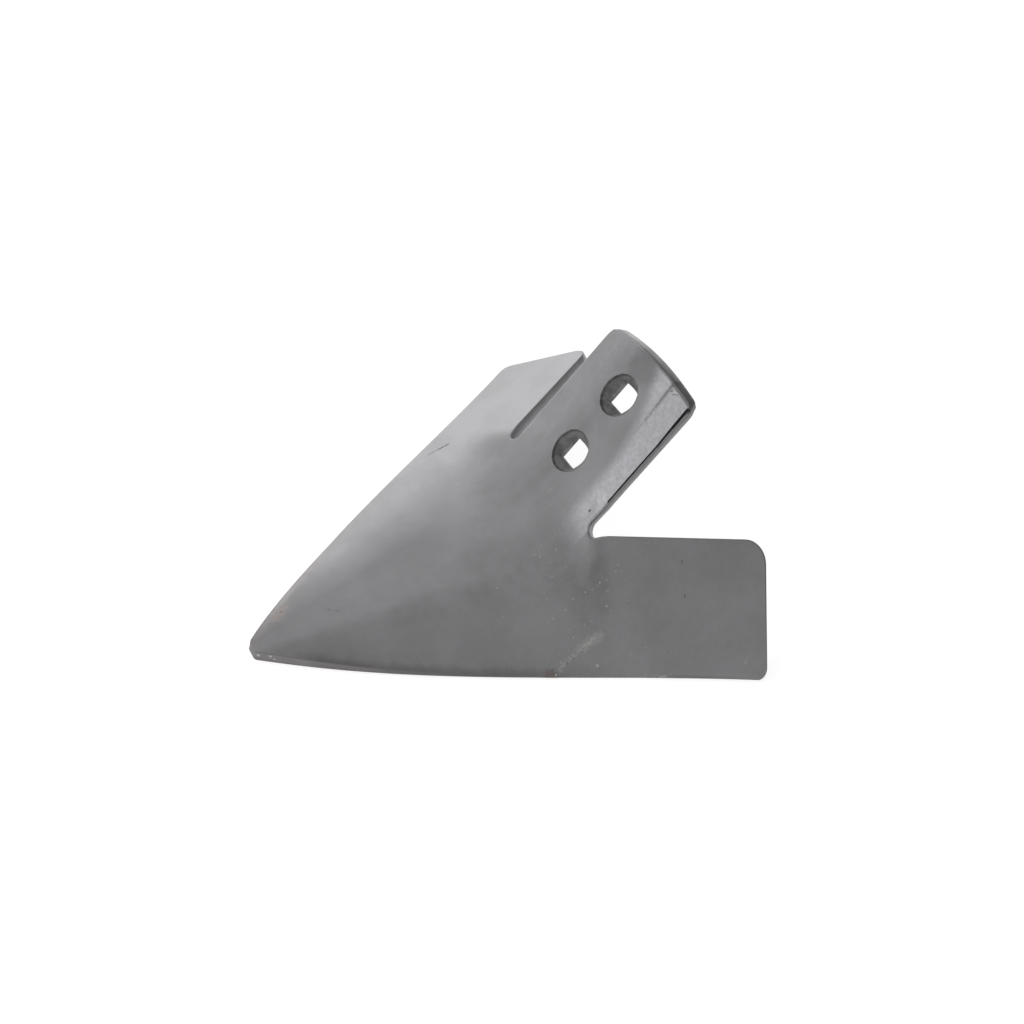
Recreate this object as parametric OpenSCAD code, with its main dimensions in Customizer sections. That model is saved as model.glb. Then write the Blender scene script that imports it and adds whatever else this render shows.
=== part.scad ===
// Cultivator sweep: one pressed steel piece, two swept wings and an inclined
// two-hole stem. Millimetres. The nose is at -X, the rear at +X, the cutting edges
// lie on the plane z = 0 and the origin is midway along the part on that plane.

/* [Blade] */
// overall width across the wing tips
blade_w = 320; // [260:1:400]
// nose to the leading tip corners, along the middle line
reach = 253.5; // [215:0.5:300]
// width of the blunt front of the nose
nose_w = 6; // [2:0.5:16]
// radius of the corners of the nose
nose_r = 3.5; // [2:0.1:12]
// how far each cutting edge bows out of the straight line from nose to tip
edge_bow = 6.8; // [0:0.1:14]
// plate thickness
plate_t = 7; // [4:0.1:9]
// height of the blunt edge at the nose
nose_h = 6; // [3:0.1:8]
// height of the sharpened edge at the wing tips
edge_h = 1.5; // [0.8:0.1:3]
// width of the bevel along the top of the blunt edge
bevel_w = 1.4; // [0.8:0.1:4]
// rise angle of the crown behind the nose
crown_angle = 7; // [4:0.5:12]

/* [Wings] */
// width of each wing, cutting edge to rear edge, along the slope
wing_chord = 82; // [60:1:100]
// slope of the wings across the cutting edge
wing_lift = 34.5; // [26:0.5:40]
// angle of the rear edges of the wings to the middle line
rear_angle = 29.9; // [26:0.1:36]
// radius of the leading tip corner
tip_r = 6; // [2:0.5:10]
// radius of the rear tip corner
rear_r = 12; // [4:0.5:20]
// sideways width of the rounding between crown and wing
crown_blend = 41; // [20:1:60]
// sideways width of the same rounding at the notch
root_blend = 8; // [4:0.5:20]
// radius of the notch between stem and wing
notch_r = 4.2; // [2:0.1:7]

/* [Stem] */
// angle of the stem to the plane of the cutting edges
stem_angle = 43.4; // [38:0.1:50]
// width of the stem
stem_w = 88; // [70:1:100]
// rise of the stem face from its side edges to its middle
stem_arch = 6; // [2:0.1:8]
// thickness along the middle of the stem
stem_t = 9.4; // [6:0.1:12]
// nose to the centre of the lower bolt hole, along the middle line
hole_x = 212.5; // [200:0.1:235]
// height of the centre of the lower bolt hole
hole_z = 69.3; // [60:0.1:85]
// length of the bend from crown to stem, each way
bend_len = 32; // [20:1:45]
// centre of the upper bolt hole to the end of the stem face
end_len = 29.6; // [22:0.1:40]
// how far the end of the stem bows out at its middle
end_bow = 4.5; // [0:0.1:6]
// radius of the corners of the stem
stem_r = 6.5; // [3:0.5:15]
// how far the back of the stem runs out past its face at the end
end_slant = 2.9; // [0:0.1:6]

/* [Bolt seats] */
// distance between the two bolt holes
hole_pitch = 44.45; // [38:0.05:52]
// diameter of the round seat for the bolt head
seat_d = 26.2; // [20:0.1:30]
// depth of the straight wall of the seat
seat_h = 1.5; // [0.8:0.1:3]
// depth of the cone below the straight wall
seat_taper = 5.2; // [3:0.1:6]
// side of the square hole
square_w = 16; // [12:0.1:18]
// corner radius of the square hole
square_r = 1.2; // [0.5:0.1:3]

/* [Hidden] */
$fn = 96;
half_w = blade_w / 2;
stem_hw = stem_w / 2;
stem_slope = tan(stem_angle);
crown_slope = tan(crown_angle);
bow_rate = 6.75;

// cutting edge in plan: nose front and corner, then a bowed line to the tip
nose_side = [0, nose_w / 2];
chi_0 = atan2(half_w - nose_side.y - 0.74 * nose_r, reach - 0.33 * nose_r);
psi = chi_0 + atan(bow_rate * edge_bow / norm([reach, half_w]));
nose_end = nose_side + nose_r * [1 - sin(psi), cos(psi)];
tip = [reach, half_w];
chi = atan2(tip.y - nose_end.y, tip.x - nose_end.x);
edge_len = norm(tip - nose_end);
bow_dir = [-sin(chi), cos(chi)];
function lead(u) =
    nose_end + u * (tip - nose_end) + edge_bow * bow_rate * u * (1 - u) * (1 - u) * bow_dir;

// wing corners and notch in plan
root_u = 0.53;
along = [cos(rear_angle), sin(rear_angle)];
out = [-sin(rear_angle), cos(rear_angle)];
wing_in = wing_chord * cos(wing_lift);
rear_tip = tip - wing_in * out;
notch_x = rear_tip.x - (rear_tip.y - stem_hw) / tan(rear_angle);
notch_mid = [notch_x + notch_r / tan(rear_angle / 2), stem_hw + notch_r];
notch = notch_mid - notch_r * [cos(rear_angle / 2), sin(rear_angle / 2)];
function notch_arc(a) = notch_mid + notch_r * [cos(a), sin(a)];

// stem in plan
upper_x = hole_x + hole_pitch * cos(stem_angle);
stem_top = upper_x + end_len * cos(stem_angle);

// height of the three sheets the face is blended from
mid_edge = lead(0.5);
wing_dir = atan2(tip.y - mid_edge.y, tip.x - mid_edge.x);
wing_slope = tan(wing_lift);
side_slope = wing_slope * cos(wing_dir);
function clamp(v) = max(0, min(1, v));
function ease(v) = let (c = clamp(v)) c * c * (3 - 2 * c);
function wing_z(x, y) =
    edge_h + wing_slope * ((x - tip.x) * sin(wing_dir) - (y - tip.y) * cos(wing_dir));
bend_x = (nose_h - hole_z + stem_slope * hole_x) / (stem_slope - crown_slope);
function bend_z(x) =
    let (d = max(0, bend_len - abs(x - bend_x)))
    d * d * (stem_slope - crown_slope) / (4 * bend_len);
function centre_z(x) =
    max(nose_h + crown_slope * x, hole_z + stem_slope * (x - hole_x)) + bend_z(x);
arch_w = 0.68 * stem_hw;
function arch_part(y) =
    (sqrt(1 + pow(y / arch_w, 2)) - 1) / (sqrt(1 + pow(stem_hw / arch_w, 2)) - 1);
function arch_z(y) = stem_arch / cos(stem_angle) * arch_part(y);
function stem_part(x) = ease((x - 0.55 * hole_x) / (0.38 * hole_x));
function crown_z(x, y) = centre_z(x) - arch_z(y) * stem_part(x);
function thickness(p) = plate_t + (stem_t - plate_t) * (1 - clamp(arch_part(p.y))) * stem_part(p.x);
function edge_y(x) = tip.y + (x - tip.x) * tan(wing_dir);
function blend_at(x) =
    let (w = root_blend + (crown_blend - root_blend) * ease((notch.x - x) / (0.4 * notch.x)))
    let (room = crown_z(x, edge_y(x)) - edge_h)
    max(0.5, min(side_slope * w, wing_z(x, 0) - centre_z(x), room));
function soft_min(a, b, k) =
    let (h = clamp(0.5 + 0.5 * (a - b) / k))
    a + (b - a) * h - k * h * (1 - h);
function body_z(x, y) = soft_min(crown_z(x, abs(y)), wing_z(x, abs(y)), blend_at(x));
root_fade = 16;
function stem_z(x, y) =
    let (c = crown_z(x, y))
    c - (1 - ease((x - notch.x) / root_fade)) * (c - body_z(x, y));
function face_z(on_stem, x, y) = on_stem ? stem_z(x, y) : body_z(x, y);
function unit(v) = v / norm(v);
function normal(on_stem, p) =
    let (d = 0.5)
    let (gx = (face_z(on_stem, p.x + d, p.y) - face_z(on_stem, p.x - d, p.y)) / (2 * d))
    let (gy = (face_z(on_stem, p.x, p.y + d) - face_z(on_stem, p.x, p.y - d)) / (2 * d))
    unit([-gx, -gy, 1]);

// grid: columns run from the cutting edge over the crown and up the stem,
// and each wing adds its own columns from the cutting edge to the rear edge
n_arc = 4;
n_edge = 12;
n_side = n_arc + n_edge;
n_across = 2 * n_side + 1;
n_body = 22;
n_notch = 4;
n_stem = 14;
n_round = 6;
n_rows = n_body + n_notch + n_stem + n_round;
n_span = 14;
n_wing = n_notch + n_span + n_round;
sharp_len = 10;
sharp_rate = 0.105;

function row_part(v, len) =
    let (b = bevel_w / len)
    v == 0 ? 0 : b + (1 - b) * pow((v - 1) / (n_body - 1), 1.2);
function body_lead(i) =
    i == 0
    ? [0, 0]
    : i <= n_arc
    ? let (a = 90 - (90 - psi) * (i - 1) / (n_arc - 1)) nose_side + nose_r * [1 - sin(a), cos(a)]
    : lead(root_u * (i - n_arc) / n_edge);
function body_base(i) = [notch.x, notch.y * i / n_side];
function mirror_y(p, s) = [p.x, s * p.y];
function body_plan(v, i) =
    let (s = row_part(v, norm(body_base(i) - body_lead(i))))
    (1 - s) * body_lead(i) + s * body_base(i);
function stem_row(k) =
    k <= n_notch
    ? notch_arc(180 + rear_angle / 2 + (90 - rear_angle / 2) * k / n_notch)
    : k <= n_notch + n_stem
    ? let (x_a = notch_mid.x, x_b = stem_top - stem_r * cos(stem_angle))
      [x_a + (x_b - x_a) * (k - n_notch) / n_stem, stem_hw]
    : let (a = 90 * (k - n_notch - n_stem) / n_round)
      [stem_top - stem_r * cos(stem_angle) * (1 - sin(a)), stem_hw - stem_r * (1 - cos(a))];
function end_shift(y) =
    arch_z(y) * cos(stem_angle) * sin(stem_angle) - end_bow * pow(y / stem_hw, 2) * cos(stem_angle);
function stem_run(k) =
    k <= n_notch + n_stem ? 0 : end_slant * sin(90 * (k - n_notch - n_stem) / n_round);

arc_a = tip - tip_r * along - tip_r * out;
arc_b = rear_tip - rear_r * along + rear_r * out;
function wing_lead(j) =
    j <= n_notch + n_span
    ? lead(root_u + (1 - tip_r / edge_len - root_u) * j / (n_notch + n_span))
    : let (a = 90 * (j - n_notch - n_span) / n_round)
      arc_a + tip_r * (sin(a) * along + cos(a) * out);
function wing_rear(j) =
    let (from = notch_arc(90 + rear_angle), to = rear_tip - rear_r * along)
    j <= n_notch
    ? notch_arc(180 + rear_angle / 2 - (90 - rear_angle / 2) * j / n_notch)
    : j <= n_notch + n_span
    ? from + (to - from) * (j - n_notch) / n_span
    : let (a = 90 * (j - n_notch - n_span) / n_round)
      arc_b + rear_r * (sin(a) * along - cos(a) * out);
function wing_plan(j, v) =
    let (s = row_part(v, norm(wing_rear(j) - wing_lead(j))))
    (1 - s) * wing_lead(j) + s * wing_rear(j);

// face and back of the plate at a plan point, thinned towards the cutting edge
function face_at(on_stem, p, d) =
    let (z = face_z(on_stem, p.x, p.y))
    [p.x, p.y, d > 0 ? max(z, edge_h) : edge_h];
function depth_at(p, z, n, d) = min(thickness(p), (z - sharp_rate * min(d, sharp_len)) / n.z);
function back_at(on_stem, p, d, run) =
    let (f = face_at(on_stem, p, d), n = normal(on_stem, p))
    f - depth_at(p, f.z, n, d) * n + run * [cos(stem_angle), 0, sin(stem_angle)];
function edge_gap(p, q) = norm(p - q);

function side_of(i) = i < n_side ? -1 : 1;
function off_of(i) = abs(i - n_side);
function grid_plan(v, i) =
    mirror_y(v <= n_body
        ? body_plan(v, off_of(i))
        : let (r = stem_row(v - n_body), y = r.y * off_of(i) / n_side)
          [r.x + end_shift(y) * clamp((v - n_body - n_notch) / n_stem), y], side_of(i));
function grid_gap(v, i) =
    v <= n_body ? edge_gap(body_plan(v, off_of(i)), body_lead(off_of(i))) : sharp_len;

grid_face = [for (v = [0 : n_rows]) for (i = [0 : n_across - 1])
    face_at(v > n_body, grid_plan(v, i), v)];
grid_back = [for (v = [0 : n_rows]) for (i = [0 : n_across - 1])
    back_at(v > n_body, grid_plan(v, i), grid_gap(v, i), v > n_body ? stem_run(v - n_body) : 0)];
wing_face = [for (s = [-1, 1]) for (j = [1 : n_wing]) for (v = [0 : n_body])
    face_at(false, mirror_y(wing_plan(j, v), s), v)];
wing_back = [for (s = [-1, 1]) for (j = [1 : n_wing]) for (v = [0 : n_body])
    back_at(false, mirror_y(wing_plan(j, v), s), edge_gap(wing_plan(j, v), wing_lead(j)), 0)];
face_pts = concat(grid_face, wing_face);
back_pts = concat(grid_back, wing_back);
n_pts = len(face_pts);
mid_x = max([for (p = concat(face_pts, back_pts)) p.x]) / 2;

function g(v, i) = v * n_across + i;
function w(s, j, v) =
    j == 0
    ? g(v, s == 0 ? 0 : n_across - 1)
    : (n_rows + 1) * n_across + (s * n_wing + j - 1) * (n_body + 1) + v;
quads = concat(
    [for (v = [0 : n_rows - 1]) for (i = [0 : n_across - 2])
        [g(v, i), g(v, i + 1), g(v + 1, i + 1), g(v + 1, i)]],
    [for (j = [0 : n_wing - 1]) for (v = [0 : n_body - 1])
        [w(1, j, v), w(1, j + 1, v), w(1, j + 1, v + 1), w(1, j, v + 1)]],
    [for (j = [0 : n_wing - 1]) for (v = [0 : n_body - 1])
        [w(0, j + 1, v), w(0, j, v), w(0, j, v + 1), w(0, j + 1, v + 1)]]);
rim = concat(
    [for (j = [n_wing : -1 : 1]) w(0, j, 0)],
    [for (i = [0 : n_across - 1]) g(0, i)],
    [for (j = [1 : n_wing]) w(1, j, 0)],
    [for (v = [1 : n_body]) w(1, n_wing, v)],
    [for (j = [n_wing - 1 : -1 : 1]) w(1, j, n_body)],
    [for (v = [n_body : n_rows]) g(v, n_across - 1)],
    [for (i = [n_across - 2 : -1 : 0]) g(n_rows, i)],
    [for (v = [n_rows - 1 : -1 : n_body]) g(v, 0)],
    [for (j = [1 : n_wing]) w(0, j, n_body)],
    [for (v = [n_body - 1 : -1 : 1]) w(0, n_wing, v)]);
n_rim = len(rim);
plate_faces = concat(
    [for (q = quads) each [[q[0], q[1], q[2]], [q[0], q[2], q[3]]]],
    [for (q = quads) each [
        [q[0] + n_pts, q[2] + n_pts, q[1] + n_pts],
        [q[0] + n_pts, q[3] + n_pts, q[2] + n_pts]]],
    [for (k = [0 : n_rim - 1]) let (a = rim[k], b = rim[(k + 1) % n_rim]) each [
        [a, b + n_pts, b],
        [a, a + n_pts, b + n_pts]]]);

// the formed plate before the holes
module plate() {
    polyhedron(points = concat(face_pts, back_pts), faces = plate_faces, convexity = 8);
}

// rounded square of the bolt neck
module neck_outline() {
    c = square_w / 2 - square_r;
    square([square_w, 2 * c], center = true);
    square([2 * c, square_w], center = true);
    for (sx = [-1, 1], sy = [-1, 1]) {
        translate([sx * c, sy * c]) circle(r = square_r);
    }
}

// room for one flush bolt: round seat, cone, square neck
module bolt_room() {
    translate([0, 0, -seat_h]) cylinder(h = seat_h + 6, d = seat_d);
    translate([0, 0, -seat_h - seat_taper])
        cylinder(h = seat_taper, d1 = seat_d - 2 * seat_taper, d2 = seat_d);
    translate([0, 0, -3 * plate_t]) linear_extrude(height = 3 * plate_t) neck_outline();
}

module sweep() {
    color("dimgray")
    translate([-mid_x, 0, 0])
    difference() {
        plate();
        for (k = [0, 1]) {
            translate([hole_x, 0, hole_z])
                rotate([0, -stem_angle, 0])
                translate([k * hole_pitch, 0, 0])
                bolt_room();
        }
    }
}

sweep();
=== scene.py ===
import math

import bmesh
import bpy
from mathutils import Matrix, Vector
from mathutils.kdtree import KDTree


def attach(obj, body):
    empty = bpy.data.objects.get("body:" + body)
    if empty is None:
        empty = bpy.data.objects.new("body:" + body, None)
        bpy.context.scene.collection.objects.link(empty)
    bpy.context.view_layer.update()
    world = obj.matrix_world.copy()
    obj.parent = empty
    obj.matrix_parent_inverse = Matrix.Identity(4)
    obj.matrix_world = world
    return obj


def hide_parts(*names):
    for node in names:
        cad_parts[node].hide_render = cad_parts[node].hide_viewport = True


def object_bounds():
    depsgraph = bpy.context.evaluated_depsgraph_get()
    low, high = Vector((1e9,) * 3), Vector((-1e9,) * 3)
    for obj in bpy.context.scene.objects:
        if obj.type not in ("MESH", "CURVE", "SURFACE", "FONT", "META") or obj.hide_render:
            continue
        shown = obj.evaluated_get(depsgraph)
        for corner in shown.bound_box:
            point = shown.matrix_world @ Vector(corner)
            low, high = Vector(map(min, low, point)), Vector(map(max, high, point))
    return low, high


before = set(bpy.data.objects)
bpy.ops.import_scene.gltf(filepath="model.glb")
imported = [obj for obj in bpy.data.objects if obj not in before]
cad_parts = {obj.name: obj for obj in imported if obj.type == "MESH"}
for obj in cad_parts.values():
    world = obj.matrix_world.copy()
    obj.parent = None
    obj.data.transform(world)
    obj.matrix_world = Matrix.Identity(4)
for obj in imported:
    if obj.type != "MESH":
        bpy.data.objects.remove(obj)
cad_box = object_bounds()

MM = 0.001

# sizes of the sweep in millimetres, the same as the solid's
BLADE_W = 320
REACH = 253.5
NOSE_W = 6
NOSE_R = 3.5
EDGE_BOW = 6.8
PLATE_T = 7
NOSE_H = 6
EDGE_H = 1.5
BEVEL_W = 1.4
CROWN_ANGLE = 7
WING_CHORD = 82
WING_LIFT = 34.5
REAR_ANGLE = 29.9
TIP_R = 6
REAR_R = 12
CROWN_BLEND = 41
ROOT_BLEND = 8
NOTCH_R = 4.2
STEM_ANGLE = 43.4
STEM_W = 88
STEM_ARCH = 6
STEM_T = 9.4
HOLE_X = 212.5
HOLE_Z = 69.3
BEND_LEN = 32
END_LEN = 29.6
END_BOW = 4.5
STEM_R = 6.5
END_SLANT = 2.9
HOLE_PITCH = 44.45
SEAT_D = 26.2
SEAT_H = 1.5
SEAT_TAPER = 5.2
SQUARE_W = 16
SQUARE_R = 1.2
MID_X = -cad_box[0].x / MM

# counts of the surface grid
N_FRONT = 3
N_ARC = 8
N_EDGE = 40
N_SIDE = N_ARC + N_EDGE
N_ACROSS = 2 * N_SIDE
N_BODY = 48
N_NOTCH = 8
N_STEM = 64
N_CORNER = 5
N_ROWS = N_BODY + N_NOTCH + N_STEM
N_SPAN = 36
N_WING = N_NOTCH + N_SPAN

# thinning towards the cutting edge: its length and rate
SHARP_LEN = 10
SHARP_RATE = 0.105

# numbers that shape the curves: where the nose rounding ends in radii, width of the stem's arch,
# where the crown turns into the stem, where the wing's blend grows and its least height, and how
# the grid's rows spread from the edge
NOSE_BACK = 0.33
NOSE_OUT = 0.74
ARCH_SHARE = 0.68
STEM_FROM = 0.55
STEM_SPAN = 0.38
BLEND_SPAN = 0.4
BLEND_LEAST = 0.5
ROW_SPREAD = 1.2


def clamp(v):
    return max(0.0, min(1.0, v))


def ease(v):
    c = clamp(v)
    return c * c * (3 - 2 * c)


def turn(angle):
    a = math.radians(angle)
    return Vector((math.cos(a), math.sin(a)))


# plan of the cutting edge, the wing corners and the notch
HALF_W = BLADE_W / 2
STEM_HW = STEM_W / 2
STEM_SLOPE = math.tan(math.radians(STEM_ANGLE))
CROWN_SLOPE = math.tan(math.radians(CROWN_ANGLE))
STEM_COS = math.cos(math.radians(STEM_ANGLE))
STEM_SIN = math.sin(math.radians(STEM_ANGLE))
BOW_RATE = 6.75
NOSE_SIDE = Vector((0, NOSE_W / 2))
CHI_0 = math.atan2(HALF_W - NOSE_SIDE.y - NOSE_OUT * NOSE_R, REACH - NOSE_BACK * NOSE_R)
PSI = CHI_0 + math.atan(BOW_RATE * EDGE_BOW / math.hypot(REACH, HALF_W))
NOSE_END = NOSE_SIDE + NOSE_R * Vector((1 - math.sin(PSI), math.cos(PSI)))
TIP = Vector((REACH, HALF_W))
CHORD = TIP - NOSE_END
EDGE_LEN = CHORD.length
BOW_DIR = Vector((-CHORD.y, CHORD.x)) / EDGE_LEN
ROOT_U = 0.53
ALONG = turn(REAR_ANGLE)
OUT = turn(REAR_ANGLE + 90)
REAR_TIP = TIP - WING_CHORD * math.cos(math.radians(WING_LIFT)) * OUT
NOTCH_X = REAR_TIP.x - (REAR_TIP.y - STEM_HW) / math.tan(math.radians(REAR_ANGLE))
NOTCH_MID = Vector((NOTCH_X + NOTCH_R / math.tan(math.radians(REAR_ANGLE / 2)), STEM_HW + NOTCH_R))
NOTCH = NOTCH_MID - NOTCH_R * turn(REAR_ANGLE / 2)
STEM_TOP = HOLE_X + (HOLE_PITCH + END_LEN) * STEM_COS
ARC_A = TIP - TIP_R * ALONG - TIP_R * OUT
ARC_B = REAR_TIP - REAR_R * ALONG + REAR_R * OUT


def lead(u):
    return NOSE_END + u * CHORD + EDGE_BOW * BOW_RATE * u * (1 - u) ** 2 * BOW_DIR


def notch_arc(angle):
    return NOTCH_MID + NOTCH_R * turn(angle)


# height of the face
MID_EDGE = lead(0.5)
WING_DIR = math.atan2(TIP.y - MID_EDGE.y, TIP.x - MID_EDGE.x)
WING_SLOPE = math.tan(math.radians(WING_LIFT))
SIDE_SLOPE = WING_SLOPE * math.cos(WING_DIR)
BEND_X = (NOSE_H - HOLE_Z + STEM_SLOPE * HOLE_X) / (STEM_SLOPE - CROWN_SLOPE)
ARCH_W = ARCH_SHARE * STEM_HW
ARCH_UNIT = math.hypot(1, STEM_HW / ARCH_W) - 1
ROOT_FADE = 16


def wing_z(x, y):
    return EDGE_H + WING_SLOPE * (
        (x - TIP.x) * math.sin(WING_DIR) - (y - TIP.y) * math.cos(WING_DIR)
    )


def centre_z(x):
    d = max(0, BEND_LEN - abs(x - BEND_X))
    rise = d * d * (STEM_SLOPE - CROWN_SLOPE) / (4 * BEND_LEN)
    return max(NOSE_H + CROWN_SLOPE * x, HOLE_Z + STEM_SLOPE * (x - HOLE_X)) + rise


def arch_part(y):
    return (math.hypot(1, y / ARCH_W) - 1) / ARCH_UNIT


def arch_z(y):
    return STEM_ARCH / STEM_COS * arch_part(y)


def stem_part(x):
    return ease((x - STEM_FROM * HOLE_X) / (STEM_SPAN * HOLE_X))


def crown_z(x, y):
    return centre_z(x) - arch_z(y) * stem_part(x)


def thickness(x, y):
    return PLATE_T + (STEM_T - PLATE_T) * (1 - clamp(arch_part(y))) * stem_part(x)


def blend_at(x):
    grown = ease((NOTCH.x - x) / (BLEND_SPAN * NOTCH.x))
    width = ROOT_BLEND + (CROWN_BLEND - ROOT_BLEND) * grown
    edge_y = TIP.y + (x - TIP.x) * math.tan(WING_DIR)
    room = crown_z(x, edge_y) - EDGE_H
    return max(BLEND_LEAST, min(SIDE_SLOPE * width, wing_z(x, 0) - centre_z(x), room))


def body_z(x, y):
    a, b, k = crown_z(x, abs(y)), wing_z(x, abs(y)), blend_at(x)
    h = clamp(0.5 + 0.5 * (a - b) / k)
    return a + (b - a) * h - k * h * (1 - h)


def stem_z(x, y):
    c = crown_z(x, y)
    return c - (1 - ease((x - NOTCH.x) / ROOT_FADE)) * (c - body_z(x, y))


def face_z(on_stem, x, y):
    return stem_z(x, y) if on_stem else body_z(x, y)


# step over which the slope of the face is measured
NORMAL_STEP = 0.5


def face_normal(on_stem, p):
    d = NORMAL_STEP
    gx = (face_z(on_stem, p.x + d, p.y) - face_z(on_stem, p.x - d, p.y)) / (2 * d)
    gy = (face_z(on_stem, p.x, p.y + d) - face_z(on_stem, p.x, p.y - d)) / (2 * d)
    return Vector((-gx, -gy, 1)).normalized()


# crease on the near flank of the stem: its ends in plan, how far the face steps down, over what width
CREASE_TOP = Vector((267, -22.6))
CREASE_LOW = Vector((226, -26.5))
CREASE_DROP = 0.9
CREASE_WIDTH = 2.6


def crease_drop(x, y):
    part = (x - CREASE_LOW.x) / (CREASE_TOP.x - CREASE_LOW.x)
    line = CREASE_LOW.y + (CREASE_TOP.y - CREASE_LOW.y) * part
    return CREASE_DROP * ease(part) * ease((line - y) / CREASE_WIDTH)


def face_and_back(on_stem, p, z_edge, gap, run):
    """Face and back of the plate at a plan point, thinned towards the cutting edge."""
    z = max(EDGE_H, face_z(on_stem, p.x, p.y))
    z += (EDGE_H - z) * z_edge
    n = face_normal(on_stem, p)
    depth = min(thickness(p.x, p.y), (z - SHARP_RATE * min(gap, SHARP_LEN)) / n.z)
    front = Vector((p.x - MID_X, p.y, z))
    rear = front - depth * n + run * Vector((STEM_COS, 0, STEM_SIN))
    if on_stem:
        front.z -= crease_drop(p.x, p.y)
    return front * MM, rear * MM


# grid of plan points: crown with stem, and two wings
def row_part(row, length):
    if row == 0:
        return 0.0
    b = BEVEL_W / length
    return b + (1 - b) * ((row - 1) / (N_BODY - 1)) ** ROW_SPREAD


def column_part(off):
    return 1.0 if off == N_SIDE else off / (N_SIDE + 1)


def patch(s, t, start, end, low, high):
    """Point of a four-sided patch: sides start and end at s 0 and 1, low and high at t 0 and 1."""
    sides = (1 - s) * start(t) + s * end(t) + (1 - t) * low(s) + t * high(s)
    corners = (1 - s) * ((1 - t) * low(0.0) + t * high(0.0)) + s * ((1 - t) * low(1.0) + t * high(1.0))
    return sides - corners


def corner_arc(centre, radius, x_axis, y_axis, angle):
    a = math.radians(angle)
    return centre + radius * (math.sin(a) * x_axis + math.cos(a) * y_axis)


def crown_lead(i):
    if i < N_FRONT:
        return NOSE_SIDE * i / N_FRONT
    if i <= N_ARC:
        a = math.pi / 2 - (math.pi / 2 - PSI) * (i - N_FRONT) / (N_ARC - N_FRONT)
        return NOSE_SIDE + NOSE_R * Vector((1 - math.sin(a), math.cos(a)))
    return lead(ROOT_U * (i - N_ARC) / N_EDGE)


END_X = STEM_TOP - STEM_R * STEM_COS
STEM_MID = Vector((END_X, STEM_HW - STEM_R))
PLAN_X = Vector((STEM_COS, 0))
PLAN_Y = Vector((0, 1))
CORNER_T = 1 - N_CORNER / N_STEM
CORNER_S = column_part(N_SIDE - N_CORNER)


def stem_middle(t):
    return Vector((NOTCH_MID.x + (STEM_TOP - NOTCH_MID.x) * t, 0))


def stem_side(t):
    if t <= CORNER_T:
        return Vector((NOTCH_MID.x + (END_X - NOTCH_MID.x) * t / CORNER_T, STEM_HW))
    return corner_arc(STEM_MID, STEM_R, PLAN_X, PLAN_Y, 45 * (t - CORNER_T) / (1 - CORNER_T))


def stem_foot(s):
    return Vector((NOTCH_MID.x, STEM_HW * s))


def stem_end(s):
    if s <= CORNER_S:
        return Vector((STEM_TOP, STEM_MID.y * s / CORNER_S))
    return corner_arc(STEM_MID, STEM_R, PLAN_X, PLAN_Y, 90 - 45 * (s - CORNER_S) / (1 - CORNER_S))


def end_shift(y):
    return arch_z(y) * STEM_COS * STEM_SIN - END_BOW * (y / STEM_HW) ** 2 * STEM_COS


def crown_place(i, row):
    off = abs(i - N_SIDE)
    side = -1 if i < N_SIDE else 1
    s = column_part(off)
    z_edge, gap, run = 0.0, SHARP_LEN, 0.0
    if row <= N_BODY:
        start, end = crown_lead(off), Vector((NOTCH.x, NOTCH.y * s))
        p = start.lerp(end, row_part(row, (end - start).length))
        z_edge, gap = float(row == 0), (p - start).length
    elif row <= N_BODY + N_NOTCH:
        k = (row - N_BODY) / N_NOTCH
        r = notch_arc(180 + REAR_ANGLE / 2 + (90 - REAR_ANGLE / 2) * k)
        p = Vector((r.x, r.y * s))
    else:
        t = (row - N_BODY - N_NOTCH) / N_STEM
        p = patch(s, t, stem_middle, stem_side, stem_foot, stem_end)
        run = END_SLANT * clamp((p.x - END_X) / (STEM_TOP - END_X))
        p.x += end_shift(p.y) * t
    return face_and_back(row > N_BODY, Vector((p.x, side * p.y)), z_edge, gap, run)


WING_S = 1 - N_CORNER / N_WING
NOTCH_S = N_NOTCH / N_WING
TIP_LOW_T = row_part(N_CORNER - 1, WING_CHORD)
TIP_HIGH_T = row_part(N_BODY - N_CORNER, WING_CHORD)


def wing_root(t):
    return lead(ROOT_U).lerp(NOTCH, t)


def wing_lead(s):
    if s <= WING_S:
        return lead(ROOT_U + (1 - TIP_R / EDGE_LEN - ROOT_U) * s / WING_S)
    return corner_arc(ARC_A, TIP_R, ALONG, OUT, 45 * (s - WING_S) / (1 - WING_S))


def wing_rear(s):
    if s <= NOTCH_S:
        return notch_arc(180 + REAR_ANGLE / 2 - (90 - REAR_ANGLE / 2) * s / NOTCH_S)
    if s <= WING_S:
        start = notch_arc(90 + REAR_ANGLE)
        return start.lerp(REAR_TIP - REAR_R * ALONG, (s - NOTCH_S) / (WING_S - NOTCH_S))
    return corner_arc(ARC_B, REAR_R, ALONG, -OUT, 45 * (s - WING_S) / (1 - WING_S))


def wing_tip(t):
    if t <= TIP_LOW_T:
        return corner_arc(ARC_A, TIP_R, ALONG, OUT, 45 + 45 * t / TIP_LOW_T)
    if t <= TIP_HIGH_T:
        part = (t - TIP_LOW_T) / (TIP_HIGH_T - TIP_LOW_T)
        return (ARC_A + TIP_R * ALONG).lerp(ARC_B + REAR_R * ALONG, part)
    return corner_arc(ARC_B, REAR_R, ALONG, -OUT, 90 - 45 * (t - TIP_HIGH_T) / (1 - TIP_HIGH_T))


ROOT_LEN = (NOTCH - lead(ROOT_U)).length


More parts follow.
